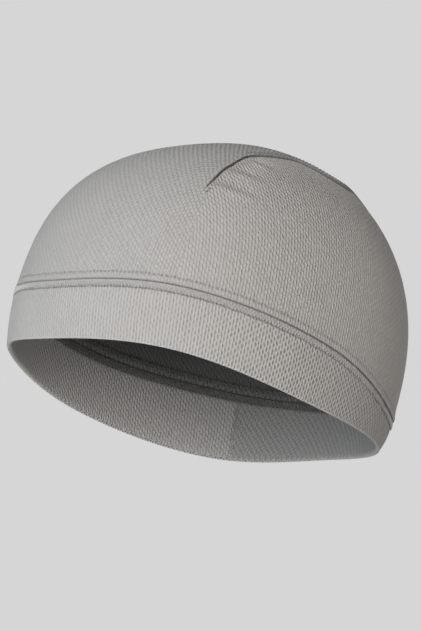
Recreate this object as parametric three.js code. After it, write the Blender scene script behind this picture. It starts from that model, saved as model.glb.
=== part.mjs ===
// A helmet liner cap of thin stretch knit, in the form that it has when it is worn.
// Millimetres, +Z up, -Y to the front, +X to the wearer's left.
// The origin is the middle of the opening, level with the mean height of the hem.
import * as THREE from "three";

// The crown and the opening, measured outside
const capWidth = 168;
const capLength = 189;
const capHeight = 123;
const hemDrawIn = { side: 1.6, end: 4.2 };
const vertexSetback = 3.5;

// The band, the walls and the seam between them
const bandHeight = 26;
const bandBarrel = 0.8;
const bandWall = 2.4;
const crownWall = 1.4;
const joinGap = 0.3;
const edgeRounding = 0.9;
const edgeRoundingHeight = 2.2;
const stripHeight = 9;
const stripThickness = 0.8;
const stripGap = 0.3;

// The long side darts, sewn from the front to the back on each side of the crown
const dartDepth = 0.8;
const dartHalfWidth = 4.5;
const dartFade = 14;

// Exponents of the outlines: 2 is an ellipse, and more is squarer
const planSquareness = 2.08;
const wallSquareness = 2.72;
const crownFullness = { front: 1.73, side: 2.34, back: 1.75 };

// Steps of the mesh round the cap, up the crown and round the fold of the hem
const turnSteps = 84;
const crownSteps = 18;
const bandSteps = 4;
const foldSteps = 4;

// Stations every 45 degrees, from the wearer's left over the back to the right and the front.
// hem is the height of the lower edge and band the height of the band, as shares of bandHeight.
const stations = [
  { at: "left", hem: -0.08, band: 1.05 },
  { at: "left back", hem: 0.06, band: 0.58 },
  { at: "back", hem: 0.2, band: 1.06 },
  { at: "right back", hem: -0.09, band: 1.34 },
  { at: "right", hem: -0.09, band: 1.19 },
  { at: "right front", hem: 0.08, band: 1.04 },
  { at: "front", hem: -0.1, band: 1.01 },
  { at: "left front", hem: 0, band: 1.07 },
];

// Route of a side dart in plan. along is a share of capLength from the middle to the back,
// and out a share of capWidth from the centre line to the side.
const dartRoute = [
  { place: "front point", along: -0.338, out: 0.298 },
  { place: "front bend", along: -0.236, out: 0.276 },
  { place: "front crown", along: -0.09, out: 0.287 },
  { place: "middle", along: 0.01, out: 0.318 },
  { place: "back crown", along: 0.1, out: 0.3 },
  { place: "back bend", along: 0.22, out: 0.285 },
  { place: "back point", along: 0.33, out: 0.262 },
];

const up = new THREE.Vector3(0, 0, 1);
const hemHeight = (turn) => bandHeight * stationValue("hem", turn);
const joinHeight = (turn) => hemHeight(turn) + bandHeight * stationValue("band", turn);

// A smooth value between the stations, by a cubic through the four nearest ones
function stationValue(column, turn) {
  const place = (turn / (2 * Math.PI)) * stations.length;
  const first = Math.floor(place);
  const part = place - first;
  const [a, b, c, d] = [-1, 0, 1, 2].map((step) => {
    const index = (first + step + stations.length) % stations.length;
    return stations[index][column];
  });
  const slopeB = (c - a) / 2;
  const slopeC = (d - b) / 2;
  const rise = b + slopeB * part;
  const bend = 3 * (c - b) - 2 * slopeB - slopeC;
  const twist = 2 * (b - c) + slopeB + slopeC;
  return rise + bend * part ** 2 + twist * part ** 3;
}

// A point of a squared ellipse in plan
function planPoint(turn, halfWidth, halfLength) {
  const power = 2 / planSquareness;
  const x = Math.sign(Math.cos(turn)) * Math.abs(Math.cos(turn)) ** power;
  const y = Math.sign(Math.sin(turn)) * Math.abs(Math.sin(turn)) ** power;
  return new THREE.Vector2(halfWidth * x, halfLength * y);
}

// Fullness of the crown towards a side, blended between its front, side and back
function fullnessAt(turn) {
  const front = Math.max(-Math.sin(turn), 0) ** 2;
  const back = Math.max(Math.sin(turn), 0) ** 2;
  const side = Math.cos(turn) ** 2;
  return crownFullness.front * front + crownFullness.side * side + crownFullness.back * back;
}

// Distance in plan from a side dart, and how far its crease has faded towards its points
function dartCrease(x, y) {
  const ends = [dartRoute[0], dartRoute[dartRoute.length - 1]];
  let nearest = Infinity;
  for (let i = 1; i < dartRoute.length; i += 1) {
    const a = new THREE.Vector2(dartRoute[i - 1].out * capWidth, dartRoute[i - 1].along * capLength);
    const b = new THREE.Vector2(dartRoute[i].out * capWidth, dartRoute[i].along * capLength);
    const span = b.clone().sub(a);
    const from = new THREE.Vector2(Math.abs(x), y).sub(a);
    const share = THREE.MathUtils.clamp(from.dot(span) / span.lengthSq(), 0, 1);
    nearest = Math.min(nearest, from.addScaledVector(span, -share).length());
  }
  const toFront = y - ends[0].along * capLength;
  const toBack = ends[1].along * capLength - y;
  const fade = THREE.MathUtils.smoothstep(Math.min(toFront, toBack), 0, dartFade);
  return dartDepth * fade * Math.exp(-((nearest / dartHalfWidth) ** 2));
}

// The crown's outer form, from its lower edge at climb 0 to its top at climb 1
function crownForm(turn, climb) {
  const angle = (Math.PI / 2) * climb ** (wallSquareness / 2);
  const spread = Math.max(Math.cos(angle), 0) ** (2 / fullnessAt(turn));
  const rise = Math.sin(angle) ** (2 / wallSquareness);
  const plan = planPoint(turn, capWidth / 2, capLength / 2).multiplyScalar(spread);
  const low = joinHeight(turn) + joinGap / 2;
  const y = plan.y + vertexSetback * rise;
  return new THREE.Vector3(plan.x, y, low + (capHeight - low) * rise);
}

// The band's outer form, from the join at drop 0 to the hem at drop 1
function bandForm(turn, drop) {
  const top = planPoint(turn, capWidth / 2, capLength / 2);
  const low = planPoint(turn, capWidth / 2 - hemDrawIn.side, capLength / 2 - hemDrawIn.end);
  const plan = top.lerp(low, drop);
  plan.addScaledVector(plan.clone().normalize(), bandBarrel * Math.sin(Math.PI * drop));
  const height = THREE.MathUtils.lerp(joinHeight(turn) - joinGap / 2, hemHeight(turn), drop);
  return new THREE.Vector3(plan.x, plan.y, height);
}

// A point set in from a form, at right angles to it
function insetPoint(form, turn, level, depth) {
  const step = 1e-3;
  const here = form(turn, level);
  if (form === crownForm && level > 1 - step) return here.addScaledVector(up, -depth);
  const along = form(turn + step, level).sub(form(turn - step, level));
  const above = form(turn, Math.min(level + step, 1)).sub(form(turn, Math.max(level - step, 0)));
  const normal = along.cross(above).normalize();
  const outward = normal.x * here.x + normal.y * here.y < 0 ? -1 : 1;
  return here.addScaledVector(normal, -depth * outward);
}

// The outer face's inset at a height from the join, where the edge of the cloth turns in
function edgeInset(fromJoin) {
  return edgeRounding * Math.exp(-Math.abs(fromJoin) / edgeRoundingHeight);
}

// Levels up the crown: two close to the edge, and then even steps to the top
function crownLevels() {
  const levels = [0, 0.018, 0.045];
  for (let i = 1; i < crownSteps; i += 1) levels.push(0.045 + (0.955 * i) / (crownSteps - 1));
  return levels.slice(0, -1);
}

// A closed mesh from faces given by the index of their corners
function closedMesh(name, points, faces, material) {
  const geometry = new THREE.BufferGeometry();
  const numbers = points.flatMap((point) => point.toArray());
  geometry.setAttribute("position", new THREE.Float32BufferAttribute(numbers, 3));
  geometry.setIndex(faces.flat());
  geometry.computeVertexNormals();
  const mesh = new THREE.Mesh(geometry, material);
  mesh.name = name;
  return mesh;
}

// Two triangles between four corners of neighbouring rings
function quad(a, b, c, d) {
  return [
    [a, b, c],
    [a, c, d],
  ];
}

// A ring with the same closed section at each turn, which runs down outside and up inside
function ringMesh(name, sectionAt, material) {
  const points = [];
  const faces = [];
  const size = sectionAt(0).length;
  for (let i = 0; i < turnSteps; i += 1) {
    points.push(...sectionAt((2 * Math.PI * i) / turnSteps));
    const next = (i + 1) % turnSteps;
    for (let j = 0; j < size; j += 1) {
      const k = (j + 1) % size;
      faces.push(...quad(i * size + j, i * size + k, next * size + k, next * size + j));
    }
  }
  return closedMesh(name, points, faces, material);
}

// The crown: one open shell, with an outer and an inner skin that meet at the lower edge
function buildCrown(material) {
  const levels = crownLevels();
  const points = [];
  const faces = [];
  const turns = Array.from({ length: turnSteps }, (_, i) => (2 * Math.PI * i) / turnSteps);
  const skin = (wall) => {
    const start = points.length;
    for (const level of levels) {
      for (const turn of turns) {
        const form = crownForm(turn, level);
        const height = form.z - joinHeight(turn);
        const inset = dartCrease(form.x, form.y) + (wall || edgeInset(height));
        points.push(insetPoint(crownForm, turn, level, inset));
      }
    }
    points.push(insetPoint(crownForm, 0, 1, wall));
    return start;
  };
  const outer = skin(0);
  const inner = skin(crownWall);
  const top = levels.length - 1;
  turns.forEach((_, i) => {
    const next = (i + 1) % turnSteps;
    for (let row = 0; row < top; row += 1) {
      const low = row * turnSteps;
      const high = low + turnSteps;
      faces.push(...quad(outer + low + i, outer + low + next, outer + high + next, outer + high + i));
      faces.push(...quad(inner + low + i, inner + high + i, inner + high + next, inner + low + next));
    }
    const last = top * turnSteps;
    faces.push([outer + last + i, outer + last + next, inner - 1]);
    faces.push([inner + last + i, points.length - 1, inner + last + next]);
    faces.push(...quad(outer + i, inner + i, inner + next, outer + next));
  });
  return closedMesh("crown", points, faces, material);
}

// The band: a folded strip, round at the hem and turned in a little at the join
function bandSection(turn) {
  const section = [];
  const foldRadius = bandWall / 2;
  const foldDrop = 1 - foldRadius / (bandHeight * stationValue("band", turn));
  const drops = Array.from({ length: bandSteps + 1 }, (_, i) => (foldDrop * i) / bandSteps);
  drops.splice(1, 0, edgeRoundingHeight / bandHeight);
  for (const drop of drops) {
    const fromJoin = bandForm(turn, drop).z - joinHeight(turn);
    section.push(insetPoint(bandForm, turn, drop, edgeInset(fromJoin)));
  }
  const outside = bandForm(turn, foldDrop);
  const inside = insetPoint(bandForm, turn, foldDrop, bandWall);
  const middle = outside.clone().lerp(inside, 0.5);
  for (let i = 1; i < foldSteps; i += 1) {
    const angle = (Math.PI * i) / foldSteps;
    const point = middle.clone().addScaledVector(outside.clone().sub(middle), Math.cos(angle));
    section.push(point.addScaledVector(up, -foldRadius * Math.sin(angle)));
  }
  for (const drop of drops.reverse()) section.push(insetPoint(bandForm, turn, drop, bandWall));
  return section;
}

// The seam strip: the flat seam's inner side, laid over the join against both pieces
function stripSection(turn) {
  const inside = (level, depth) => {
    const reach = stripHeight / 2;
    if (level < 0) {
      const drop = (-level * reach) / (joinHeight(turn) - hemHeight(turn));
      return insetPoint(bandForm, turn, drop, bandWall + stripGap + depth);
    }
    const climb = (level * reach) / climbHeight(turn);
    return insetPoint(crownForm, turn, climb, crownWall + stripGap + depth);
  };
  const levels = [1, 0.45, -0.06, -0.55, -1];
  const outer = levels.map((level) => inside(level, 0));
  const inner = levels.reverse().map((level) => inside(level, stripThickness));
  return [...outer, ...inner];
}

// Height of the crown that one unit of climb would give at its lower edge
function climbHeight(turn) {
  const small = 0.02;
  return (crownForm(turn, small).z - crownForm(turn, 0).z) / small;
}

const knit = new THREE.MeshStandardMaterial({ color: 0xa3a09d, roughness: 0.85, metalness: 0 });
const seamKnit = new THREE.MeshStandardMaterial({ color: 0x918e8b, roughness: 0.9, metalness: 0 });

const cap = new THREE.Group();
cap.add(buildCrown(knit));
cap.add(ringMesh("band", bandSection, knit));
cap.add(ringMesh("seam_strip", stripSection, seamKnit));

export default cap;
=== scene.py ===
# A helmet liner cap of thin stretch knit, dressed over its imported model.
# Metres, +Z up, -Y to the front, +X to the wearer's left.
import math

import bmesh
import bpy
import numpy as np
from mathutils import Matrix, Vector


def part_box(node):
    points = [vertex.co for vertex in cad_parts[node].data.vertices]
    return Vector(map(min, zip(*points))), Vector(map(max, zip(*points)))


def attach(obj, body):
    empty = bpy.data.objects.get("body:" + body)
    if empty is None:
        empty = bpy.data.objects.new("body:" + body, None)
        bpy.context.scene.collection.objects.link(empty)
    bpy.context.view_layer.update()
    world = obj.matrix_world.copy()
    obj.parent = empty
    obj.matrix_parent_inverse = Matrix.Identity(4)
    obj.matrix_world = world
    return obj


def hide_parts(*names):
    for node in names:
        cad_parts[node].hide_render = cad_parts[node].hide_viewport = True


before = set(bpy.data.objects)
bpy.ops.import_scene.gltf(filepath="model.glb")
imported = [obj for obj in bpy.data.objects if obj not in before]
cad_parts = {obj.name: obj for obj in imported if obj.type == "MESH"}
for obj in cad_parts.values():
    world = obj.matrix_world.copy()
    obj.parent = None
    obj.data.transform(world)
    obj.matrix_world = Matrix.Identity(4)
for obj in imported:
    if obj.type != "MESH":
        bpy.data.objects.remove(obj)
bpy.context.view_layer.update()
MM = 0.001

# Driving sizes: the crown's width and height come from the frame, and the rest repeat the part's own
crown_low, crown_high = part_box("crown")
cap_width = crown_high.x - crown_low.x
cap_length = 189 * MM
cap_height = crown_high.z
hem_draw_in = {"side": 1.6 * MM, "end": 4.2 * MM}
vertex_setback = 3.5 * MM
band_height = 26 * MM
band_barrel = 0.8 * MM
band_wall = 2.4 * MM
crown_wall = 1.4 * MM
join_gap = 0.3 * MM
strip_height = 9 * MM
plan_squareness = 2.08
wall_squareness = 2.72
crown_fullness = {"front": 1.73, "side": 2.34, "back": 1.75}

# Stations every 45 degrees, from the wearer's left over the back to the right and the front.
# Columns: the height of the hem and the height of the band, as shares of band_height.
stations = [
    ("left", -0.08, 1.05),
    ("left back", 0.06, 0.58),
    ("back", 0.2, 1.06),
    ("right back", -0.09, 1.34),
    ("right", -0.09, 1.19),
    ("right front", 0.08, 1.04),
    ("front", -0.1, 1.01),
    ("left front", 0.0, 1.07),
]
hem_shares = np.array([row[1] for row in stations])
band_shares = np.array([row[2] for row in stations])

# The line of a side dart. Columns: degrees from the side to the back, and the climb of the crown.
# Before the first point and after the last one the line only guides the rows of the mesh.
dart_line = [
    (-90, 0.27),
    (-72, 0.27),
    (-58, 0.3),
    (-49.5, 0.392),
    (-47, 0.479),
    (-44.5, 0.537),
    (-42, 0.589),
    (-38, 0.622),
    (-30.5, 0.658),
    (-19.5, 0.697),
    (-11.5, 0.692),
    (-4.5, 0.681),
    (5, 0.68),
    (14, 0.7),
    (26, 0.7),
    (36, 0.66),
    (45, 0.585),
    (51, 0.49),
    (55, 0.42),
    (64, 0.33),
    (76, 0.29),
    (90, 0.29),
]
dart_start = math.radians(-49.5)
dart_end = math.radians(55)
band_seam_turn = math.radians(127)
band_seam_lean = math.radians(3.7)

# The knit's repeat, which holds two slits, and the rows of stitches along the seam above the band
wale_pitch = 2.9 * MM
course_pitch = 2.9 * MM
side_wale_lean = 0.1
band_wale_lean = 0.06
stitch_pitch = 1.9 * MM
upper_row_height = 3.2 * MM
lower_row_drop = 3.0 * MM

# The seam's form beside the join: a low welt, sunk edges and a tuck at the wearer's left back
welt_rise = 0.12 * MM
edge_sink = 0.35 * MM
edge_reach = 0.2 * MM
tuck_turn = math.radians(70)
tuck_spread = math.radians(32)

# Far enough from the join on the seam map that no stitch mark shows there
unmarked = 20 * MM

# Steps of every grid round the cap, and of the curves that distances are measured on
turn_steps = 480
turns = np.linspace(0, 2 * math.pi, turn_steps + 1)
curve_steps = 2881


# A smooth value between the stations, by a cubic through the four nearest ones
def station_value(shares, turn):
    place = turn / (2 * math.pi) * len(shares)
    first = np.floor(place).astype(int)
    part = place - first
    a, b, c, d = [shares[(first + step) % len(shares)] for step in (-1, 0, 1, 2)]
    slope_b = (c - a) / 2
    slope_c = (d - b) / 2
    bend = 3 * (c - b) - 2 * slope_b - slope_c
    twist = 2 * (b - c) + slope_b + slope_c
    return b + slope_b * part + bend * part**2 + twist * part**3


# Heights of the hem and of the join of crown and band at a turn
def hem_height(turn):
    return band_height * station_value(hem_shares, turn)


def join_height(turn):
    return hem_height(turn) + band_height * station_value(band_shares, turn)


# A point of a squared ellipse in plan
def plan_point(turn, half_width, half_length):
    power = 2 / plan_squareness
    x = np.sign(np.cos(turn)) * np.abs(np.cos(turn)) ** power
    y = np.sign(np.sin(turn)) * np.abs(np.sin(turn)) ** power
    return half_width * x, half_length * y


# The crown's outer form, from its lower edge at climb 0 to its top at climb 1
def crown_form(turn, climb):
    fullness = (
        crown_fullness["front"] * np.maximum(-np.sin(turn), 0) ** 2
        + crown_fullness["back"] * np.maximum(np.sin(turn), 0) ** 2
        + crown_fullness["side"] * np.cos(turn) ** 2
    )
    angle = math.pi / 2 * np.maximum(climb, 0) ** (wall_squareness / 2)
    spread = np.maximum(np.cos(angle), 0) ** (2 / fullness)
    rise = np.sin(angle) ** (2 / wall_squareness)
    x, y = plan_point(turn, cap_width / 2, cap_length / 2)
    low = join_height(turn) + join_gap / 2
    z = low + (cap_height - low) * rise
    return np.stack([x * spread, y * spread + vertex_setback * rise, z], -1)


# The band's outer form, from the join at drop 0 to the hem at drop 1
def band_form(turn, drop):
    top_x, top_y = plan_point(turn, cap_width / 2, cap_length / 2)
    low_x, low_y = plan_point(
        turn, cap_width / 2 - hem_draw_in["side"], cap_length / 2 - hem_draw_in["end"]
    )
    x = top_x + (low_x - top_x) * drop
    y = top_y + (low_y - top_y) * drop
    push = 1 + band_barrel * np.sin(math.pi * np.clip(drop, 0, 1)) / np.hypot(x, y)
    top = join_height(turn) - join_gap / 2
    return np.stack([x * push, y * push, top + (hem_height(turn) - top) * drop], -1)


# The outward normal of a form, from short steps round it and up it
def form_normal(form, turn, level):
    step = 1e-3
    along = form(turn + step, level) - form(turn - step, level)
    above = form(turn, np.minimum(level + step, 0.999)) - form(turn, np.maximum(level - step, 0))
    normal = np.cross(along, above)
    normal /= np.linalg.norm(normal, axis=-1, keepdims=True)
    facing = np.sign(np.sum(normal[..., :2] * form(turn, level)[..., :2], -1))
    return normal * np.where(facing == 0, 1, facing)[..., None]


# A smooth bump of height 1 at a centre
def ripple(place, centre, width):
    return np.exp(-(((place - centre) / width) ** 2))


# A smooth change from 0 at the low value to 1 at the high one
def smooth_step(value, low, high):
    part = np.clip((value - low) / (high - low), 0, 1)
    return part * part * (3 - 2 * part)


# The turn from the nearer side of the cap, negative towards the front
def side_turn(turn):
    return np.arctan2(np.sin(turn), np.abs(np.cos(turn)))


# The climb of the dart line at a turn from the side, by a cubic through its points
def dart_climb(side):
    knots = np.radians([row[0] for row in dart_line])
    values = np.array([row[1] for row in dart_line])
    slopes = np.gradient(values, knots)
    i = np.clip(np.searchsorted(knots, side, side="right") - 1, 0, len(knots) - 2)
    span = knots[i + 1] - knots[i]
    part = (side - knots[i]) / span
    a, b = values[i], values[i + 1]
    bend = 3 * (b - a) - span * (2 * slopes[i] + slopes[i + 1])
    twist = 2 * (a - b) + span * (slopes[i] + slopes[i + 1])
    return a + slopes[i] * span * part + bend * part**2 + twist * part**3


# Rows of the crown's grid: close together at the lower edge and on both sides of the dart line
def crown_rows(turn, spare_rows, top_rows, fine):
    edge = np.linspace(0, 0.085, 24 if fine else 4)
    close_rows = [0.0014, 0.0028, 0.0045, 0.0065, 0.009, 0.0125, 0.017, 0.023, 0.03]
    near = np.array(close_rows if fine else close_rows[-1:])
    line = dart_climb(side_turn(turn))[None, :]
    below = line - near[::-1, None]
    above = line + near[:, None]
    climb_share = np.linspace(0, 1, spare_rows + 2)[1:-1, None]
    lower = edge[-1] + (below[:1] - edge[-1]) * climb_share
    top_share = np.linspace(0, 1, top_rows + 1)[1:-1, None]
    upper = above[-1:] + (1 - above[-1:]) * top_share
    ones = np.ones_like(line)
    return np.concatenate([edge[:, None] * ones, lower, below, line, above, upper])


# Distance up each column of a grid of points, from its first row
def distance_up(points):
    steps = np.linalg.norm(np.diff(points, axis=0), axis=-1)
    return np.concatenate([np.zeros((1, points.shape[1])), np.cumsum(steps, axis=0)])


# Distance round the join line, seen from above, from the wearer's left
def distance_round(turn):
    fine = np.linspace(0, 2 * math.pi, curve_steps)
    ring = crown_form(fine, np.zeros_like(fine))[:, :2]
    length = np.concatenate([[0], np.cumsum(np.linalg.norm(np.diff(ring, axis=0), axis=1))])
    return np.interp(turn, fine, length)


# Signed distance from the dart line, and how much of the seam there is at that place
def dart_offset(turn, climb, height):
    side = side_turn(turn)
    step = math.radians(0.5)
    after = crown_form(turn + step, dart_climb(side_turn(turn + step)))
    before = crown_form(turn - step, dart_climb(side_turn(turn - step)))
    run = np.linalg.norm((after - before)[..., :2], axis=-1)
    slope = np.abs(after - before)[..., 2] / np.maximum(run, 1e-6)
    columns = zip(side[0], climb.T, height.T)
    line_height = np.array([np.interp(dart_climb(s), c, h) for s, c, h in columns])
    across = (height - line_height[None, :]) / np.hypot(1, slope)
    fade = 0.012
    present = smooth_step(side, dart_start - fade, dart_start + fade)
    present = present * smooth_step(-side, -dart_end - fade, -dart_end + fade)
    return across, present


# A mesh object from points, faces as point numbers and the named maps of the face corners
def mesh_object(name, points, faces, maps, material):
    mesh = bpy.data.meshes.new(name)
    mesh.from_pydata(points.tolist(), [], faces.tolist())
    for map_name, corners in maps.items():
        layer = mesh.uv_layers.new(name=map_name)
        layer.data.foreach_set("uv", np.ascontiguousarray(corners, dtype=np.float32).ravel())
    mesh.polygons.foreach_set("use_smooth", [True] * len(mesh.polygons))
    mesh.update()
    obj = bpy.data.objects.new(name, mesh)
    bpy.context.scene.collection.objects.link(obj)
    obj.data.materials.append(material)
    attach(obj, "root")
    return obj


# Faces of a grid that closes on itself round the cap, with the corners of its unclosed copy
def ring_faces(rows, start=0, flip=False):
    row, column = np.meshgrid(np.arange(rows - 1), np.arange(turn_steps), indexing="ij")
    closed = (column + 1) % turn_steps

    def at(r, c, width):
        return (r * width + c).ravel()

    faces = [at(row, column, turn_steps), at(row, closed, turn_steps)]
    faces += [at(row + 1, closed, turn_steps), at(row + 1, column, turn_steps)]
    wide = turn_steps + 1
    corners = [at(row, column, wide), at(row, column + 1, wide)]
    corners += [at(row + 1, column + 1, wide), at(row + 1, column, wide)]
    order = [3, 2, 1, 0] if flip else [0, 1, 2, 3]
    faces = np.stack([faces[k] for k in order], -1) + start
    return faces, np.stack([corners[k] for k in order], -1)


# The knit's directions on the crown: front to back over the middle, and upright on the side panels
def crown_maps(points, turn, climb, height, corners):
    ring_turn = np.linspace(-math.pi / 2, math.pi / 2, 721)
    ring = crown_form(ring_turn, np.zeros_like(ring_turn))[:, :2]
    length = np.concatenate([[0], np.cumsum(np.linalg.norm(np.diff(ring, axis=0), axis=1))])
    panel_side = np.where(np.cos(turn) >= 0, 1, -1)
    panel_shift = 0.37
    rise = (points[..., 2] - join_height(turn)) / (cap_height - join_height(turn))
    y = points[..., 1] - vertex_setback * rise
    side_u = np.interp(y, ring[:, 1], length) + panel_side * panel_shift + side_wale_lean * height
    front_half = ring_turn <= 0
    x = points[..., 0]
    middle_u = np.sign(x) * np.interp(np.abs(x), ring[front_half, 0], length[front_half])
    reach = np.arctan2(rise * (cap_height - join_height(turn)), -y)
    profile_climb = np.linspace(0, 1, 400)
    front = crown_form(np.full(400, 1.5 * math.pi), profile_climb)
    back = crown_form(np.full(400, 0.5 * math.pi), profile_climb)[::-1]
    profile = np.concatenate([front, back[1:]])
    profile_low = join_height(np.array([1.5 * math.pi]))[0]
    profile_reach = np.arctan2(np.maximum(profile[:, 2] - profile_low, 0), -profile[:, 1])
    profile_length = np.concatenate([[0], np.cumsum(np.linalg.norm(np.diff(profile, axis=0), axis=1))])
    order = np.argsort(profile_reach)
    middle_v = np.interp(reach, profile_reach[order], profile_length[order])
    side = side_turn(turn)
    on_side = (side > dart_start) & (side < dart_end) & (climb < dart_climb(side))
    side_uv = np.stack([side_u, height], -1).reshape(-1, 2)
    middle_uv = np.stack([middle_u, middle_v], -1).reshape(-1, 2)
    face_side = on_side.reshape(-1)[corners].mean(1) > 0.5
    return np.where(face_side[:, None, None], side_uv[corners], middle_uv[corners])


# Fine creases of the side panel beside the front of the dart.
# Columns: degrees from the side and climb of both ends, depth and half width.
creases = [
    ("lower", -47.5, 0.424, -31, 0.4, 1.05 * MM, 2.1 * MM),
    ("middle", -44.8, 0.506, -32, 0.49, 1.1 * MM, 1.8 * MM),
    ("upper", -38.5, 0.592, -28, 0.566, 1.0 * MM, 1.6 * MM),
]


# How deep the creases are at a place of the crown, less the low crests below them
def crease_depth(turn, climb, height):
    total = np.zeros_like(climb)
    side = side_turn(turn)
    for _, start, start_climb, end, end_climb, depth, half_width in creases:
        part = (np.degrees(side) - start) / (end - start)
        line = start_climb + (end_climb - start_climb) * part
        away = (climb - line) * height[-1] * 0.95
        fade = smooth_step(part, -0.12, 0.05) * smooth_step(-part, -1.1, -0.35)
        crest = ripple(away, -1.9 * half_width, half_width)
        total += depth * fade * (ripple(away, 0, half_width) - 0.7 * crest)
    return total


# The welt between the join and a distance past the stitch row
def seam_welt(distance, fade_start, fade_end):
    start = smooth_step(distance, 0.1 * MM, 0.5 * MM)
    return welt_rise * start * smooth_step(-distance, -fade_end, -fade_start)


# How far the crown's cloth stands out from its form: the welt, the row, the dart and the creases
def crown_relief(turn, climb, height, across, present, bent):
    welt = seam_welt(height, 2.9 * MM, 4.9 * MM)
    row_dent = 0.28 * MM * ripple(height, upper_row_height, 0.5 * MM)
    edge = edge_sink * np.exp(-height / edge_reach)
    groove = present * 0.9 * MM * ripple(across, 0, 0.8 * MM)
    lip = present * 0.3 * MM * ripple(across, -1.9 * MM, 1.5 * MM)
    lip = lip + present * (0.8 + 0.4 * bent) * MM * ripple(across, 2.2 * MM, 1.4 * MM)
    overhang = 0.7 * MM * ripple(turn, tuck_turn, tuck_spread) * ripple(height, 1.5 * MM, 2.5 * MM)
    return welt + overhang - row_dent - edge - groove + lip - crease_depth(turn, climb, height)


# The crown: an outer skin with all its detail, and a plain inner skin a wall's thickness inside it
def build_crown(material, inner_material):
    turn = turns
    climb = crown_rows(turn, 44, 34, True)
    grid_turn = np.broadcast_to(turn, climb.shape)
    form = crown_form(grid_turn, climb)
    height = distance_up(form)
    across, present = dart_offset(grid_turn, climb, height)
    normal = form_normal(crown_form, grid_turn, climb)
    bent = smooth_step(side_turn(grid_turn), math.radians(-42.5), math.radians(-38))
    relief = crown_relief(grid_turn, climb, height, across, present, bent)
    outer = form + normal * relief[..., None]
    inner_climb = crown_rows(turn, 14, 14, False)
    inner_turn = np.broadcast_to(turn, inner_climb.shape)
    inner_form = crown_form(inner_turn, inner_climb)
    inner = inner_form - form_normal(crown_form, inner_turn, inner_climb) * crown_wall
    inner_height = distance_up(inner_form)

    outer_faces, outer_corners = ring_faces(len(climb))
    start = len(climb) * turn_steps
    inner_faces, inner_corners = ring_faces(len(inner_climb), start, True)
    outer_uv = crown_maps(form, grid_turn, climb, height, outer_corners)
    inner_uv = crown_maps(inner_form, inner_turn, inner_climb, inner_height, inner_corners)
    round_u = np.broadcast_to(distance_round(turn), climb.shape)
    outer_seam = np.stack([round_u, height], -1).reshape(-1, 2)[outer_corners]
    inner_round = np.broadcast_to(distance_round(turn), inner_climb.shape)
    inner_seam = np.stack([inner_round, inner_height + unmarked], -1).reshape(-1, 2)[inner_corners]

    points = np.concatenate([outer[:, :-1].reshape(-1, 3), inner[:, :-1].reshape(-1, 3)])
    faces = np.concatenate([outer_faces, inner_faces])
    knit = np.concatenate([outer_uv, inner_uv])
    seam = np.concatenate([outer_seam, inner_seam])
    outer_dart = np.stack([present, across], -1).reshape(-1, 2)[outer_corners]
    dart = np.concatenate([outer_dart, np.zeros_like(inner_uv)])
    outer_strip = np.stack([present * bent, across], -1).reshape(-1, 2)[outer_corners]
    strip = np.concatenate([outer_strip, np.zeros_like(inner_uv)])
    maps = {"knit": knit, "seam": seam, "dart": dart, "dart_strip": strip}
    obj = mesh_object("crown_knit", points, faces, maps, material)
    obj.data.materials.append(inner_material)
    inside = [0] * len(outer_faces) + [1] * len(inner_faces)
    obj.data.polygons.foreach_set("material_index", inside)
    close_crown(obj.data, len(climb), len(inner_climb))
    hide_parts("crown")
    return obj


# The crown's lower edge between its skins, and the small fans at its top
def close_crown(mesh, outer_rows, inner_rows):
    edit = bmesh.new()
    edit.from_mesh(mesh)
    edit.verts.ensure_lookup_table()
    layers = list(edit.loops.layers.uv.values())
    inner_start = outer_rows * turn_steps
    for i in range(turn_steps):
        j = (i + 1) % turn_steps
        corners = [edit.verts[k] for k in (i, inner_start + i, inner_start + j, j)]
        edit.faces.new(corners).smooth = True
    skins = ((0, outer_rows, False), (inner_start, inner_rows, True))
    rings = []
    for start, rows, _ in skins:
        rings.append([edit.verts[start + (rows - 1) * turn_steps + i] for i in range(turn_steps)])
    for ring, (_, _, flip) in zip(rings, skins):
        centre = edit.verts.new(sum((v.co for v in ring), Vector()) / len(ring))
        known = {v: [v.link_loops[0][layer].uv.copy() for layer in layers] for v in ring}
        by_layer = list(zip(*known.values()))
        known[centre] = [sum(column, Vector((0, 0))) / len(ring) for column in by_layer]
        for a, b in zip(ring, ring[1:] + ring[:1]):
            face = edit.faces.new((b, a, centre) if flip else (a, b, centre))
            face.smooth = True
            face.material_index = 1 if flip else 0
            for corner in face.loops:
                for layer, value in zip(layers, known[corner.vert]):
                    corner[layer].uv = value
    edit.to_mesh(mesh)
    edit.free()


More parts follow.
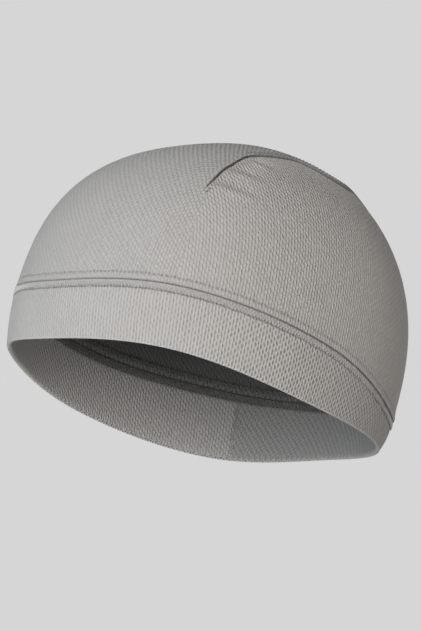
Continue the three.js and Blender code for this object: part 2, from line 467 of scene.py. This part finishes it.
# The band's section at every turn: down outside, round the fold and up inside
def build_band(materials):
    turn = turns
    height = join_height(turn) - hem_height(turn)
    fold_radius = band_wall / 2
    fold_drop = 1 - fold_radius / height
    fine = np.array([0, 0.3, 0.6, 1.0, 1.5, 2.0, 2.5, 3.0, 3.5, 4.0, 4.6, 5.3]) * MM
    fine_drop = [step / height for step in fine]
    rest = fold_drop - fine_drop[-1]
    rest_drop = [fine_drop[-1] + rest * share for share in np.linspace(0, 1, 19)[1:]]
    outer_drop = np.array(fine_drop + rest_drop)
    grid_turn = np.broadcast_to(turn, outer_drop.shape)
    form = band_form(grid_turn, outer_drop)
    normal = form_normal(band_form, grid_turn, outer_drop)
    drop_length = outer_drop * height
    outer = form + normal * band_relief(grid_turn, drop_length)[..., None]
    inner_drop = outer_drop[::-2]
    inner_turn = np.broadcast_to(turn, inner_drop.shape)
    inner_normal = form_normal(band_form, inner_turn, inner_drop)
    inner_relief = band_inner_relief(inner_turn, inner_drop)
    inner = band_form(inner_turn, inner_drop) - inner_normal * (band_wall + inner_relief)[..., None]
    fold_angle = np.linspace(0, math.pi, 11)[1:-1, None, None]
    middle = (outer[-1] + inner[0]) / 2
    fold = middle + (outer[-1] - middle) * np.cos(fold_angle)
    fold[..., 2] -= fold_radius * np.sin(fold_angle[..., 0])
    grid = np.concatenate([outer, fold, inner, outer[:1]])
    along = -distance_up(grid) + distance_up(outer)[-1][None, :] + fold_radius * math.pi / 2
    start_u = distance_round(np.array([band_seam_turn]))[0]
    total = distance_round(np.array([2 * math.pi]))[0]
    round_u = np.broadcast_to(distance_round(turn), along.shape) - start_u
    rows = len(grid)
    faces, corners = ring_faces(rows, 0, True)
    faces = np.where(faces >= (rows - 1) * turn_steps, faces - (rows - 1) * turn_steps, faces)
    row_drop = np.concatenate([outer_drop, np.ones(fold.shape[:2]), inner_drop, outer_drop[:1]])
    past_seam = past_band_seam(turn, row_drop)
    inside = along < -fold_radius
    inner_lean = np.where(past_seam, 0.18, -0.07)
    lean = np.where(inside, inner_lean, band_wale_lean)
    knit = np.stack([round_u + lean * along, along], -1).reshape(-1, 2)[corners]
    before = round_u.reshape(-1)[corners].mean(1) < 0
    knit[before, :, 0] += total
    depth = np.concatenate([-drop_length, np.full((rows - len(drop_length), len(turn)), -unmarked)])
    around = np.broadcast_to(distance_round(turn), depth.shape)
    seam = np.stack([around, depth], -1).reshape(-1, 2)[corners]
    points = grid[:-1, :-1].reshape(-1, 3)
    bare = np.zeros_like(knit)
    maps = {"knit": knit, "seam": seam, "dart": bare, "dart_strip": bare}
    obj = mesh_object("band_knit", points, faces, maps, materials[0])
    obj.data.materials.append(materials[1])
    obj.data.materials.append(materials[2])
    inside_face = inside.reshape(-1)[corners].all(1)
    past_face = past_seam.reshape(-1)[corners].all(1)
    side_index = np.where(past_face, 1, 2)
    obj.data.polygons.foreach_set("material_index", np.where(inside_face, side_index, 0).tolist())
    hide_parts("band")
    return obj


# The turn of the band's own seam at a drop from the join: it leans a little
def seam_turn_at(drop):
    return band_seam_turn + band_seam_lean * (1 - drop)


# Whether a place is past the band's own seam, on the way to the wearer's right and front
def past_band_seam(turn, drop):
    return (turn > seam_turn_at(drop)) & (turn < 1.5 * math.pi)


# How far the band's outer side stands out from its form
def band_relief(turn, drop):
    welt = seam_welt(drop, 2.7 * MM, 4.6 * MM)
    row_dent = 0.4 * MM * ripple(drop, lower_row_drop, 0.55 * MM)
    edge = edge_sink * np.exp(-drop / edge_reach)
    tuck = 0.9 * MM * ripple(turn, tuck_turn, tuck_spread) * np.exp(-drop / (3 * MM))
    return welt - row_dent - edge - tuck


# How much thinner the band's wall is along its own seam, seen from inside
def band_inner_relief(turn, drop):
    away = np.abs(distance_round(turn) - distance_round(seam_turn_at(drop)))
    return -0.7 * MM * ripple(away, 0, 0.7 * MM)


# The inner side of the flat seam: a strip over the join with a crease along its middle
def build_strip(material):
    turn = turns
    rise = 0.4 * MM
    clearance = 0.02 * MM
    side = [0.05, 0.11, 0.18, 0.28, 0.4, 0.55, 0.7, 0.85, 1]
    face_height = np.array(side[::-1] + [0] + [-level for level in side]) * strip_height / 2
    back_height = np.array([-1, -0.5, 0, 0.5, 1]) * strip_height / 2
    face = []
    for height in face_height:
        crease = 0.35 * MM * ripple(height, 0, 0.45 * MM)
        face.append(strip_point(turn, height, rise - crease))
    back = [strip_point(turn, height, clearance) for height in back_height]
    grid = np.array(face + back + face[:1])
    rows = len(grid)
    faces, corners = ring_faces(rows)
    faces = np.where(faces >= (rows - 1) * turn_steps, faces - (rows - 1) * turn_steps, faces)
    along = distance_up(grid)
    around = np.broadcast_to(distance_round(turn), along.shape)
    knit = np.stack([around, along], -1).reshape(-1, 2)[corners]
    hidden = 1.0
    from_join = np.concatenate([face_height, back_height + hidden, face_height[:1]])
    from_join = np.broadcast_to(from_join[:, None], along.shape)
    seam = np.stack([around, from_join], -1).reshape(-1, 2)[corners]
    points = grid[:-1, :-1].reshape(-1, 3)
    bare = np.zeros_like(knit)
    maps = {"knit": knit, "seam": seam, "dart": bare, "dart_strip": bare}
    obj = mesh_object("inner_seam_tape", points, faces, maps, material)
    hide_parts("seam_strip")
    return obj


# A point inside the cap at a height from the join, set in from the wall of crown or band
def strip_point(turn, height, depth):
    depth = np.asarray(depth)[..., None]
    climb = crown_level_at(turn, height)
    drop = band_level_at(turn, np.maximum(-height, 0))
    on_crown = crown_form(turn, climb) - form_normal(crown_form, turn, climb) * (crown_wall + depth)
    on_band = band_form(turn, drop) - form_normal(band_form, turn, drop) * (band_wall + depth)
    share = smooth_step(np.asarray(height), -0.6 * MM, 0.6 * MM)
    return on_band + (on_crown - on_band) * share[..., None]


# Many small threads of the seams in one mesh: each is a tube through its row of points
def thread_mesh(name, paths, radii, material, sides=6):
    paths = np.asarray(paths)
    radii = np.asarray(radii)
    count, steps = paths.shape[:2]
    along = np.gradient(paths, axis=1)
    along /= np.linalg.norm(along, axis=-1, keepdims=True)
    guide = paths * np.array([1.0, 1.0, 0.3])
    across = np.cross(along, guide)
    across /= np.linalg.norm(across, axis=-1, keepdims=True)
    outward = np.cross(across, along)
    angle = np.linspace(0, 2 * math.pi, sides, endpoint=False)
    ring = across[:, :, None] * np.cos(angle)[:, None] + outward[:, :, None] * np.sin(angle)[:, None]
    points = paths[:, :, None] + ring * radii[:, :, None, None]
    index = np.arange(count * steps * sides).reshape(count, steps, sides)
    after = np.roll(index, -1, axis=2)
    quads = np.stack([index[:, :-1], after[:, :-1], after[:, 1:], index[:, 1:]], -1).reshape(-1, 4)
    caps = [index[:, 0, ::-1].reshape(-1, sides), index[:, -1].reshape(-1, sides)]
    mesh = bpy.data.meshes.new(name)
    faces = quads.tolist() + caps[0].tolist() + caps[1].tolist()
    mesh.from_pydata(points.reshape(-1, 3).tolist(), [], faces)
    mesh.polygons.foreach_set("use_smooth", [True] * len(mesh.polygons))
    obj = bpy.data.objects.new(name, mesh)
    bpy.context.scene.collection.objects.link(obj)
    obj.data.materials.append(material)
    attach(obj, "root")
    return obj


# The turns that lie at even distances round the join, and the pitch that divides it evenly
def even_turns(pitch):
    fine = np.linspace(0, 2 * math.pi, curve_steps)
    length = distance_round(fine)
    count = int(round(length[-1] / pitch))
    places = np.arange(count) * length[-1] / count
    return np.interp(places, length, fine), length[-1] / count


# A row of short stitches round the cap, sunk in its groove
def stitch_row(name, form, level_at, distance, length, radius, sink, wander, material, seed):
    rng = np.random.default_rng(seed)
    centre, pitch = even_turns(stitch_pitch)
    turn_per_metre = np.gradient(centre) / pitch
    part = np.linspace(-0.5, 0.5, 5)
    turn = centre[:, None] + part * (length * turn_per_metre)[:, None]
    lean = rng.normal(0, wander, len(centre))[:, None] * part * 2
    level = level_at(turn, distance + lean + rng.normal(0, wander * 0.5, len(centre))[:, None])
    normal = form_normal(form, turn, level)
    arch = (1 - (2 * part) ** 2) * radius * 0.9
    points = form(turn, level) + normal * (arch - sink)[..., None]
    taper = radius * np.sqrt(np.maximum(1 - (2 * part) ** 2 * 0.75, 0.05))
    radii = np.broadcast_to(taper, turn.shape) * rng.uniform(0.8, 1.15, (len(centre), 1))
    return thread_mesh(name, points, radii, material)


# The crown's climb at a height above the join, and the band's drop at a depth below it
def crown_level_at(turn, height):
    small = 0.02
    rise = (crown_form(turn, small)[..., 2] - crown_form(turn, 0)[..., 2]) / small
    return np.maximum(height, 0) / rise


def band_level_at(turn, depth):
    return depth / (join_height(turn) - hem_height(turn))


# Covering threads that cross from one height to another and back, along the seam
def zigzag_threads(name, low, high, pitch, radius, place, material, seed):
    rng = np.random.default_rng(seed)
    centre, true_pitch = even_turns(pitch)
    turn_per_metre = np.gradient(centre) / true_pitch
    part = np.linspace(0, 1, 6)
    paths = []
    radii = []
    for offset, start, end in ((0.0, low, high), (0.5, high, low)):
        turn = centre[:, None] + (offset + 0.5 * part) * (true_pitch * turn_per_metre)[:, None]
        wander = rng.normal(0, 0.22 * MM, (len(centre), 2))
        height = start + wander[:, :1] + (end - start + wander[:, 1:] - wander[:, :1]) * part
        points = place(turn, height, np.sin(math.pi * part) * radius * 1.1)
        paths.append(points)
        radii.append(np.full(turn.shape, radius) * rng.uniform(0.75, 1.15, (len(centre), 1)))
    return thread_mesh(name, np.concatenate(paths), np.concatenate(radii), material, sides=5)


# Small helpers to write a material's nodes
class Nodes:
    def __init__(self, material):
        self.tree = material.node_tree
        self.shader = self.tree.nodes["Principled BSDF"]

    def add(self, kind, **inputs):
        node = self.tree.nodes.new(kind)
        for name, value in inputs.items():
            self.set(node.inputs[name.replace("_", " ")], value)
        return node

    def set(self, socket, value):
        if isinstance(value, bpy.types.NodeSocket):
            self.tree.links.new(value, socket)
        else:
            socket.default_value = value

    def math(self, operation, a, b=0.0, c=0.0):
        node = self.tree.nodes.new("ShaderNodeMath")
        node.operation = operation
        for socket, value in zip(node.inputs, (a, b, c)):
            self.set(socket, value)
        return node.outputs[0]

    def ramp(self, value, low, high, out_low=0.0, out_high=1.0):
        node = self.tree.nodes.new("ShaderNodeMapRange")
        node.interpolation_type = "SMOOTHSTEP"
        for name, number in (("Value", value), ("From Min", low), ("From Max", high)):
            self.set(node.inputs[name], number)
        self.set(node.inputs["To Min"], out_low)
        self.set(node.inputs["To Max"], out_high)
        return node.outputs["Result"]

    def noise(self, vector, scale, detail=2.0, roughness=0.5):
        node = self.tree.nodes.new("ShaderNodeTexNoise")
        self.set(node.inputs["Vector"], vector)
        node.inputs["Scale"].default_value = scale
        node.inputs["Detail"].default_value = detail
        node.inputs["Roughness"].default_value = roughness
        return node.outputs["Fac"]

    def map(self, name):
        node = self.tree.nodes.new("ShaderNodeUVMap")
        node.uv_map = name
        parts = self.tree.nodes.new("ShaderNodeSeparateXYZ")
        self.tree.links.new(node.outputs["UV"], parts.inputs[0])
        return parts.outputs["X"], parts.outputs["Y"]

    def mix(self, share, a, b):
        node = self.tree.nodes.new("ShaderNodeMix")
        node.data_type = "RGBA"
        self.set(node.inputs[0], share)
        self.set(node.inputs[6], a)
        self.set(node.inputs[7], b)
        return node.outputs[2]


# The knit's relief: columns of long beads or slits, each column half a repeat off the next.
# It is 1 on the cloth's high places and 0 in its gaps.
def knit_relief(nodes, u, v, beads, crossing):
    across = nodes.math("MULTIPLY", u, 2 * math.pi / wale_pitch)
    along = nodes.math("MULTIPLY", v, 2 * math.pi / course_pitch)
    columns = nodes.math("COSINE", nodes.math("MULTIPLY", across, 2.0))
    rising = nodes.math("COSINE", nodes.math("ADD", across, along))
    falling = nodes.math("COSINE", nodes.math("SUBTRACT", across, along))
    wave = nodes.math("MULTIPLY", rising, 0.34)
    wave = nodes.math("MULTIPLY_ADD", falling, 0.22, wave)
    wave = nodes.math("MULTIPLY", wave, crossing)
    wave = nodes.math("MULTIPLY_ADD", columns, 0.44, wave)
    if not beads:
        wave = nodes.math("MULTIPLY", wave, -1.0)
    return nodes.ramp(wave, -0.75 if beads else -0.95, 0.8 if beads else 0.5)


# How close a distance is to a centre: 1 within the inner width and 0 past the outer one
def nearness(nodes, distance, centre, inner, outer):
    away = nodes.math("ABSOLUTE", nodes.math("SUBTRACT", distance, centre))
    return nodes.ramp(away, outer, inner)


# Painted shade in the needle holes and along the groove of one row of stitches
def row_shade(nodes, u, v, centre, shift, line_share, hole_share):
    place = nodes.math("ADD", nodes.math("DIVIDE", u, stitch_pitch), shift)
    beside = nodes.math("ABSOLUTE", nodes.math("SUBTRACT", nodes.math("FRACT", place), 0.5))
    in_row = nearness(nodes, v, centre, 0.25 * MM, 0.75 * MM)
    hole = nodes.math("MULTIPLY", nodes.ramp(beside, 0.3, 0.12), in_row)
    line = nodes.math("MULTIPLY", nearness(nodes, v, centre, 0.15 * MM, 0.8 * MM), line_share)
    return nodes.math("MAXIMUM", nodes.math("MULTIPLY", hole, hole_share), line)


# The stronger of two shades
def darker(nodes, a, b):
    return nodes.math("MAXIMUM", a, b)


# A colour of the same hue, made lighter or darker, with its alpha
def scaled(colour, factor):
    return tuple(min(1.0, c * factor) for c in colour) + (1.0,)


# How strongly the gaps show: less on the seam, where the cloth is pulled tight, and below the dart;
# more towards the back as painted shade, on the band's outside most
def gap_strength(nodes, place, front_to_back, on_seam, above_join, raised):
    _, dart_across = nodes.map("dart")
    strip_share, _ = nodes.map("dart_strip")
    plain = nodes.math("MULTIPLY_ADD", on_seam, -0.8, 1.0)
    plain = nodes.math("MULTIPLY", plain, nodes.math("MULTIPLY_ADD", above_join, -0.2, 1.0))
    # Painted shade: the gaps darker from the front towards the back
    gap_painted_shade = nodes.ramp(front_to_back, -85 * MM, -15 * MM, 0.65, 1.0)
    if not raised:
        # Painted shade: on the band's outside the gaps darken further towards the back
        back_gap_painted_shade = nodes.ramp(front_to_back, -40 * MM, 20 * MM, 1.0, 1.5)
        gap_painted_shade = nodes.math("MULTIPLY", gap_painted_shade, back_gap_painted_shade)
    beside_dart = nearness(nodes, dart_across, 0.0, 5 * MM, 20 * MM)
    below_dart = nodes.math("MULTIPLY", beside_dart, strip_share)
    gap_painted_shade = nodes.math("MULTIPLY", gap_painted_shade, nodes.math("MULTIPLY_ADD", below_dart, -0.5, 1.0))
    uneven = nodes.ramp(nodes.noise(place, 800.0, 1.0), 0.25, 0.7, 0.6, 1.0)
    return nodes.math("MULTIPLY", nodes.math("MULTIPLY", uneven, gap_painted_shade), plain)


# Painted shade of the two stitch rows, in the join's gap and among the covering threads between them,
# the last two stronger towards the back, and a slight darkening between the join and the upper row
def seam_shade(nodes, place, front_to_back, waver, on_seam, above_join):
    seam_u, seam_v = nodes.map("seam")
    wavy_v = nodes.math("MULTIPLY_ADD", waver, 1.0 * MM, seam_v)
    # Painted shade in the needle holes and along both stitch rows
    shade = row_shade(nodes, seam_u, wavy_v, upper_row_height, 0.0, 0.16, 0.5)
    lower_shade = row_shade(nodes, seam_u, wavy_v, -lower_row_drop - 0.3 * MM, 0.25, 0.45, 0.72)
    shade = darker(nodes, shade, lower_shade)
    # Painted shade in the gap of the join, darker towards the back
    join_share = nodes.ramp(front_to_back, -60 * MM, 20 * MM, 0.2, 0.65)
    join = nodes.math("MULTIPLY", nearness(nodes, seam_v, 0.0, 0.1 * MM, 0.42 * MM), join_share)
    shade = darker(nodes, shade, join)
    # Painted shade among the covering threads below the join, stronger towards the back
    thread_gap_shade = nodes.ramp(nodes.noise(place, 1300.0, 1.0), 0.42, 0.6, 0.05, 0.55)
    thread_gap_shade_share = nodes.ramp(front_to_back, -80 * MM, -10 * MM, 0.35, 1.0)
    thread_gap_shade = nodes.math("MULTIPLY", thread_gap_shade, thread_gap_shade_share)
    shade = darker(nodes, shade, nodes.math("MULTIPLY", on_seam, thread_gap_shade))
    return darker(nodes, shade, nodes.math("MULTIPLY", above_join, 0.06))


# Painted shade in the dart's seam, and above it where the seam bends back over the crown
def dart_shade(nodes):
    dart_share, dart_across = nodes.map("dart")
    strip_share, _ = nodes.map("dart_strip")
    # Painted shade along the dart's groove
    line = nodes.math("MULTIPLY", nearness(nodes, dart_across, 0.2 * MM, 0.5 * MM, 1.3 * MM), 0.9)
    line = nodes.math("MULTIPLY", line, dart_share)
    # Painted shade on the sunk strip above the dart's line, after its bend
    sunk = nodes.math("MULTIPLY", nearness(nodes, dart_across, 2 * MM, 2.3 * MM, 4.5 * MM), 0.62)
    return darker(nodes, line, nodes.math("MULTIPLY", sunk, strip_share))


# Stretch knit: raised beads or slits, with painted shade at the seam and the dart, and a painted
# highlight along the folded hem
def knit_material(name, colour, raised=True, slit_depth=0.3, relief=0.75 * MM, hem_painted_highlight=0.0):
    material = bpy.data.materials.new(name)
    material.use_nodes = True
    nodes = Nodes(material)
    knit_u, knit_v = nodes.map("knit")
    _, seam_v = nodes.map("seam")
    place = nodes.add("ShaderNodeTexCoord").outputs["Object"]
    parts = nodes.tree.nodes.new("ShaderNodeSeparateXYZ")
    nodes.set(parts.inputs[0], place)
    front_to_back = parts.outputs["Y"]
    wobble = nodes.math("SUBTRACT", nodes.noise(place, 420.0, 1.0), 0.5)
    wobble_up = nodes.math("SUBTRACT", nodes.noise(place, 380.0, 1.0), 0.5)
    u = nodes.math("MULTIPLY_ADD", wobble, 0.6 * MM, knit_u)
    v = nodes.math("MULTIPLY_ADD", wobble_up, 1.0 * MM, knit_v)
    crossing = 1.0 if raised else nodes.ramp(front_to_back, -85 * MM, -20 * MM, 0.3, 1.0)
    beads = knit_relief(nodes, u, v, raised, crossing)
    on_seam = nearness(nodes, seam_v, -lower_row_drop / 2, 1.2 * MM, 1.7 * MM)
    above_join = nearness(nodes, seam_v, upper_row_height / 2, 1.4 * MM, 2.0 * MM)
    strength = gap_strength(nodes, place, front_to_back, on_seam, above_join, raised)
    gaps = nodes.math("MULTIPLY", nodes.math("SUBTRACT", 1.0, beads), strength)

    mottle = nodes.noise(place, 60.0, 4.0, 0.6)
    fibre = nodes.noise(place, 4200.0, 2.0, 0.7)
    patch = nodes.math("MULTIPLY_ADD", mottle, 0.6, nodes.math("MULTIPLY", fibre, 0.4))
    tone = nodes.mix(patch, scaled(colour, 0.88), scaled(colour, 1.1))
    tone = nodes.mix(gaps, tone, scaled(colour, 1 - slit_depth))
    # Painted highlight: a pale line along the band's fold at the hem, where light catches it
    hem_highlight_edge = nearness(nodes, knit_v, 0.3 * MM, 0.5 * MM, 1.4 * MM)
    tone = nodes.mix(nodes.math("MULTIPLY", hem_highlight_edge, hem_painted_highlight), tone, scaled(colour, 1.5))
    shade = seam_shade(nodes, place, front_to_back, wobble_up, on_seam, above_join)
    shade = darker(nodes, shade, dart_shade(nodes))
    # Painted shade: the rows, the join, the seam's threads and the dart mixed towards a dark copy of
    # the cloth
    tone = nodes.mix(shade, tone, scaled(colour, 0.22))
    nodes.set(nodes.shader.inputs["Base Color"], tone)

    height = nodes.math("MULTIPLY_ADD", gaps, -1.0, nodes.math("MULTIPLY", fibre, 0.2))
    height = nodes.math("MULTIPLY_ADD", shade, -0.8, height)
    bump = nodes.add("ShaderNodeBump", Height=height)
    bump.inputs["Strength"].default_value = 1.0
    bump.inputs["Distance"].default_value = relief
    nodes.set(nodes.shader.inputs["Normal"], bump.outputs["Normal"])
    nodes.shader.inputs["Roughness"].default_value = 0.85
    nodes.shader.inputs["Sheen Weight"].default_value = 0.15
    nodes.shader.inputs["Sheen Roughness"].default_value = 0.5
    nodes.shader.inputs["Specular IOR Level"].default_value = 0.25
    return material


# Matt thread with fine fibres
def thread_material(name, colour):
    material = bpy.data.materials.new(name)
    material.use_nodes = True
    nodes = Nodes(material)
    place = nodes.add("ShaderNodeTexCoord").outputs["Object"]
    fibre = nodes.noise(place, 3500.0, 2.0, 0.6)
    tone = nodes.mix(fibre, scaled(colour, 0.7), scaled(colour, 1.2))
    nodes.set(nodes.shader.inputs["Base Color"], tone)
    bump = nodes.add("ShaderNodeBump", Height=fibre)
    bump.inputs["Strength"].default_value = 0.3
    bump.inputs["Distance"].default_value = 0.1 * MM
    nodes.set(nodes.shader.inputs["Normal"], bump.outputs["Normal"])
    nodes.shader.inputs["Roughness"].default_value = 0.7
    nodes.shader.inputs["Sheen Weight"].default_value = 0.1
    return material


# The direction from the cap to a place at an azimuth from the front and an elevation
def direction(azimuth, elevation):
    a = math.radians(azimuth)
    e = math.radians(elevation)
    return Vector((math.sin(a) * math.cos(e), -math.cos(a) * math.cos(e), math.sin(e)))


# Camera: from the wearer's front left, a little below the hem, with the picture turned
def build_camera():
    azimuth = 51.2
    elevation = -15.7
    roll = math.radians(15.2)
    distance = 1.38
    aim_height = 0.045
    aim_shift = (-0.0025, -0.0016)
    back = direction(azimuth, elevation)
    middle = Vector((0, 0, aim_height))
    level = direction(azimuth + 90, 0)
    place = middle + back * distance
    target = middle + level * aim_shift[0] + level.cross(-back) * aim_shift[1]
    forward = (target - place).normalized()
    right = forward.cross(Vector((0, 0, 1))).normalized()
    above = right.cross(forward)
    turned_right = right * math.cos(roll) + above * math.sin(roll)
    turned_up = above * math.cos(roll) - right * math.sin(roll)
    camera = bpy.data.objects.new("camera", bpy.data.cameras.new("camera"))
    camera.data.lens = 170.4
    camera.data.sensor_width = 36
    camera.data.clip_start = 0.1
    camera.data.clip_end = 50
    axes = Matrix((turned_right, turned_up, -forward)).transposed()
    camera.matrix_world = Matrix.Translation(place) @ axes.to_4x4()
    bpy.context.scene.collection.objects.link(camera)
    bpy.context.scene.camera = camera


# Soft lights. Columns: degrees round from the front to the wearer's left and up from level,
# size across, power in watts, and blue as a share of red.
lights = [
    ("key", 25, -6, 0.9, 29.5, 0.99),
    ("cool_front", -25, -4, 0.9, 5.1, 1.45),
    ("back_fill", 119, -5, 0.9, 9.8, 0.94),
    ("side_fill", 95, 35, 0.9, 5, 0.94),
    ("rear_fill", 228, 15, 1.2, 16, 0.97),
]
light_distance = 1.6


# A disk light that faces the cap's middle
def build_light(name, azimuth, elevation, size, power, blue):
    back = direction(azimuth, elevation)
    light = bpy.data.lights.new(name, "AREA")
    light.shape = "DISK"
    light.size = size
    light.energy = power
    light.color = (1.0, 0.5 + 0.5 * blue, blue)
    obj = bpy.data.objects.new(name, light)
    obj.location = Vector((0, 0, 0.05)) + back * light_distance
    obj.rotation_mode = "QUATERNION"
    obj.rotation_quaternion = back.to_track_quat("Z", "Y")
    bpy.context.scene.collection.objects.link(obj)


# The pale backdrop, which lights the cap only a little, the pale floor and the lights
def build_stage():
    backdrop_tone = 0.672
    room_tone = 0.02
    world = bpy.data.worlds.new("studio")
    world.use_nodes = True
    tree = world.node_tree
    seen = tree.nodes.new("ShaderNodeLightPath").outputs["Is Camera Ray"]
    tone = tree.nodes.new("ShaderNodeMapRange")
    tree.links.new(seen, tone.inputs["Value"])
    tone.inputs["To Min"].default_value = room_tone
    tone.inputs["To Max"].default_value = backdrop_tone
    background = tree.nodes["Background"]
    background.inputs["Color"].default_value = (1.0, 1.0, 1.0, 1.0)
    tree.links.new(tone.outputs["Result"], background.inputs["Strength"])
    bpy.context.scene.world = world
    half = 6.0
    floor_height = -0.9
    mesh = bpy.data.meshes.new("floor")
    corners = [(-half, -half), (half, -half), (half, half), (-half, half)]
    mesh.from_pydata([(x, y, floor_height) for x, y in corners], [], [(0, 1, 2, 3)])
    floor = bpy.data.objects.new("floor", mesh)
    bpy.context.scene.collection.objects.link(floor)
    paint = bpy.data.materials.new("floor_paint")
    paint.use_nodes = True
    shader = paint.node_tree.nodes["Principled BSDF"]
    shader.inputs["Base Color"].default_value = (0.75, 0.75, 0.75, 1.0)
    shader.inputs["Roughness"].default_value = 0.9
    mesh.materials.append(paint)
    for row in lights:
        build_light(*row)


# Stitches along a side dart between two places, in degrees from the side.
# They lie beside the dart's line on the form and are lifted off the form.
def dart_stitches(name, mirror, first, last, length, radius, aside, lift, material, seed):
    rng = np.random.default_rng(seed)
    side = np.radians(np.linspace(first, last, 1200))
    turn = side if mirror > 0 else math.pi - side
    line = crown_form(turn, dart_climb(side))
    travelled = np.concatenate([[0], np.cumsum(np.linalg.norm(np.diff(line, axis=0), axis=1))])
    starts = np.arange(0, travelled[-1] - length, stitch_pitch)
    part = np.linspace(0, 1, 5)
    places = starts[:, None] + part * length
    at_turn = np.interp(places, travelled, turn)
    climb = np.interp(places, travelled, dart_climb(side)) + aside / (cap_height * 1.2)
    climb = climb + rng.normal(0, 0.0007, (len(starts), 1))
    normal = form_normal(crown_form, at_turn, climb)
    arch = (1 - (2 * part - 1) ** 2) * radius
    points = crown_form(at_turn, climb) + normal * (arch + lift)[..., None]
    radii = np.broadcast_to(radius * np.sqrt(1 - (2 * part - 1) ** 2 * 0.75), at_turn.shape)
    return thread_mesh(name, points, radii, material)


# All stitches: along the darts, round the join outside, and the looped threads on both its sides
def build_stitches():
    dark_thread = thread_material("dart_thread_dark", (0.12, 0.118, 0.115))
    for name, mirror in (("left", 1), ("right", -1)):
        dart_stitches(
            f"dart_stitches_{name}", mirror, first=-42, last=52, length=1.0 * MM, radius=0.26 * MM,
            aside=3.4 * MM, lift=0.75 * MM, material=dark_thread, seed=11
        )
        dart_stitches(
            f"dart_end_{name}", mirror, first=-49.0, last=-48.2, length=0.9 * MM, radius=0.35 * MM,
            aside=-7.5 * MM, lift=0, material=dark_thread, seed=12
        )
    light_thread = thread_material("seam_thread_light", (0.39, 0.38, 0.37))
    grey_thread = thread_material("seam_thread_grey", (0.175, 0.173, 0.17))
    stitch_row(
        "crown_topstitch", crown_form, crown_level_at, upper_row_height, length=1.25 * MM,
        radius=0.2 * MM, sink=0.45 * MM, wander=0.06 * MM, material=light_thread, seed=3
    )
    stitch_row(
        "band_topstitch", band_form, band_level_at, lower_row_drop, length=1.3 * MM,
        radius=0.22 * MM, sink=0.4 * MM, wander=0.3 * MM, material=light_thread, seed=5
    )

    def outside(turn, height, lift):
        level = band_level_at(turn, -height)
        above = (lift + 0.05 * MM)[..., None]
        return band_form(turn, level) + form_normal(band_form, turn, level) * above

    def inside(turn, height, lift):
        return strip_point(turn, height, lift + 0.55 * MM)

    zigzag_threads(
        "outer_covering", -3.2 * MM, -0.5 * MM, pitch=1.5 * MM, radius=0.2 * MM, place=outside,
        material=light_thread, seed=13
    )
    zigzag_threads(
        "inner_upper_looper", 0.8 * MM, 4.6 * MM, pitch=1.9 * MM, radius=0.23 * MM, place=inside,
        material=grey_thread, seed=7
    )
    zigzag_threads(
        "inner_lower_looper", -4.9 * MM, -1.2 * MM, pitch=1.9 * MM, radius=0.23 * MM, place=inside,
        material=grey_thread, seed=9
    )


# The same cloth outside and inside, in the shades that each side shows in the photo
crown_knit = knit_material("crown_knit_grey", (0.377, 0.364, 0.347))
# Painted shade: the crown's inside skin is far darker than the same cloth outside
crown_inside_painted_shade = knit_material(
    "crown_inside_painted_shade_grey", (0.125, 0.124, 0.122), slit_depth=0.15, relief=0.3 * MM
)
band_knit = knit_material(
    "band_knit_grey", (0.374, 0.361, 0.344), raised=False, slit_depth=0.45, hem_painted_highlight=0.5
)
band_inside_front = knit_material(
    "band_inside_front_grey", (0.385, 0.371, 0.357), slit_depth=0.26, relief=0.5 * MM, hem_painted_highlight=0.5
)
band_inside_back = knit_material(
    "band_inside_back_grey", (0.31, 0.307, 0.3), slit_depth=0.28, relief=0.5 * MM, hem_painted_highlight=0.5
)
seam_knit = knit_material("seam_knit_grey", (0.225, 0.22, 0.214))

build_camera()
build_stage()
crown = build_crown(crown_knit, crown_inside_painted_shade)
band = build_band((band_knit, band_inside_front, band_inside_back))
build_strip(seam_knit)
build_stitches()

bpy.context.scene.view_settings.view_transform = "Standard"
